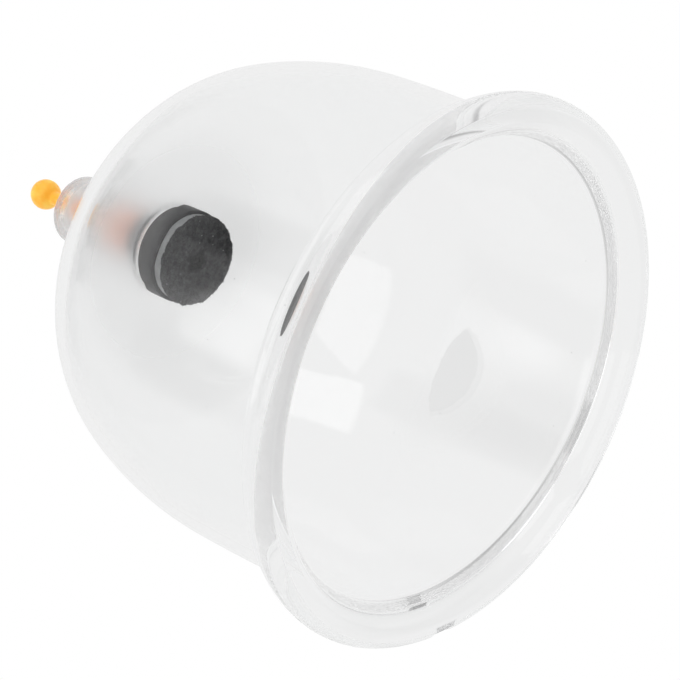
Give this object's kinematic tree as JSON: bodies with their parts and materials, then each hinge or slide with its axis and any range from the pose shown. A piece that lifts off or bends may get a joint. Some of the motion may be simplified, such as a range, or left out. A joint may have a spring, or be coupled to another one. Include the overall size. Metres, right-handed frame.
{
  "type": "vacuum cupping cup",
  "caption": "Clear cupping cup with a round rim bead, a pump nozzle on the crown and a ball-topped release valve that lifts and turns in the nozzle.",
  "frame": {"origin": "centre of the rim's flat land, on the plane of the mouth, which is the centre of the bottom of the bounding box", "axes": "+Z along the cup's axis from the mouth to the nozzle and ball; the moulding gate's scar on the rim lies 152 degrees from +X towards +Y"},
  "size_m": [0.057, 0.057, 0.0697],
  "materials": {
    "clear_plastic": "clear moulded polycarbonate, polished",
    "plug_rubber": "black moulded rubber, matt",
    "washer_plastic": "clear plastic, slightly milky",
    "filter_foam": "dark grey fine foam with a cut edge",
    "seal_rubber": "black soft rubber",
    "amber_plastic": "amber yellow moulded plastic, slightly see-through"
  },
  "bodies": {
    "cup": {"cup_shell": "clear_plastic", "seat_plug": "plug_rubber", "retainer_washer": "washer_plastic", "filter_disc": "filter_foam"},
    "seal": {"valve_seal": "seal_rubber"},
    "rod": {"valve_rod": "amber_plastic"}
  },
  "joints": [
    {"name": "valve_lift", "type": "slide", "parent": "cup", "child": "seal", "axis": [0, 0, 1], "range_m": [0, 0.0035]},
    {"name": "valve_turn", "type": "hinge", "parent": "seal", "child": "rod", "pos_m": [0, 0, 0.054], "axis": [0, 0, 1], "continuous": true}
  ]
}
